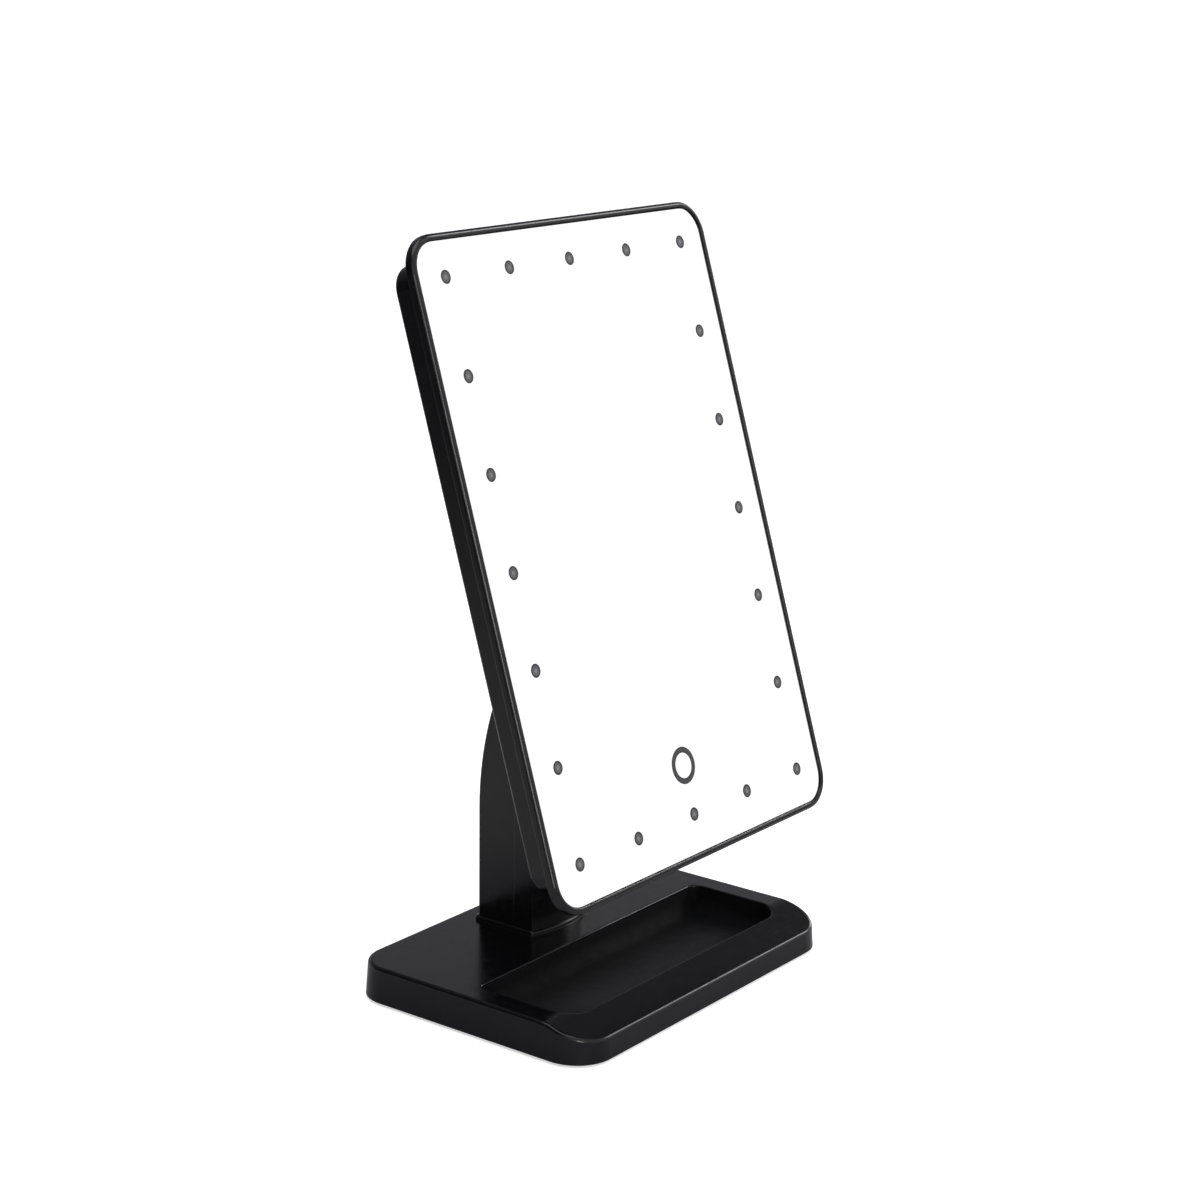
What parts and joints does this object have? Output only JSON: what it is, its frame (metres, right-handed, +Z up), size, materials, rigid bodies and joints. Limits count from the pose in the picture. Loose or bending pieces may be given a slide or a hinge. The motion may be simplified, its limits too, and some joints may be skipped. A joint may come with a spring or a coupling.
{
  "type": "countertop mirror",
  "caption": "Free-standing rectangular make-up mirror with LED windows round the glass, a touch ring, a tilting head on a curved neck and a base with a tray.",
  "frame": {"origin": "centre of the base outline, at the level the rubber feet stand on", "axes": "+Z up, +X to the right of a person looking into the mirror, +Y away from that person"},
  "size_m": [0.17, 0.111, 0.2864],
  "materials": {
    "black_abs": "semi-gloss moulded",
    "dark_abs": "fine texture",
    "mirror": "silvered glass",
    "frosted_window": "etched",
    "ring_print": "etched ring",
    "tape": "foam tape",
    "white_board": "white solder mask",
    "green_board": "green solder mask",
    "chips": "moulded chips",
    "led_package": "phosphor",
    "spring_steel": "nickel plated",
    "contact": "nickel plated",
    "cell_jacket": "printed sleeve",
    "steel": "zinc plated",
    "black_screw": "blackened steel",
    "rubber": "soft",
    "wire_jacket": "insulation",
    "hinge_plastic": "acetal"
  },
  "bodies": {
    "base": {"base_shell": "black_abs", "base_plate": "dark_abs", "rubber_feet": "rubber", "base_screws": "black_screw", "tenon_screws": "steel", "neck_front": "black_abs", "neck_rear": "black_abs", "neck_screws": "black_screw", "hinge_axle": "steel", "hinge_nut": "steel", "hinge_washers": "steel"},
    "head": {"front_frame": "black_abs", "mirror_glass": "mirror", "led_windows": "frosted_window", "touch_ring": "ring_print", "glass_tape": "tape", "led_board": "white_board", "leds": "led_package", "control_board": "green_board", "control_parts": "chips", "touch_spring": "spring_steel", "back_housing": "black_abs", "case_screws": "black_screw", "hinge_arm": "hinge_plastic", "arm_screws": "black_screw", "batteries": "cell_jacket", "contact_plates": "contact", "battery_springs": "spring_steel", "switch_body": "chips", "wires": "wire_jacket"},
    "door": {"battery_door": "black_abs"},
    "power_knob": {"switch_knob": "dark_abs"}
  },
  "joints": [
    {"name": "head_tilt", "type": "hinge", "parent": "base", "child": "head", "pos_m": [0, 0.0094, 0.1424], "axis": [-1, 0, 0], "range_deg": [-22, 57]},
    {"name": "battery_door_slide", "type": "slide", "parent": "head", "child": "door", "axis": [0, 0.2924, 0.9563], "range_m": [0, 0.06]},
    {"name": "power_switch", "type": "slide", "parent": "head", "child": "power_knob", "axis": [1, 0, 0], "range_m": [0, 0.004]}
  ]
}
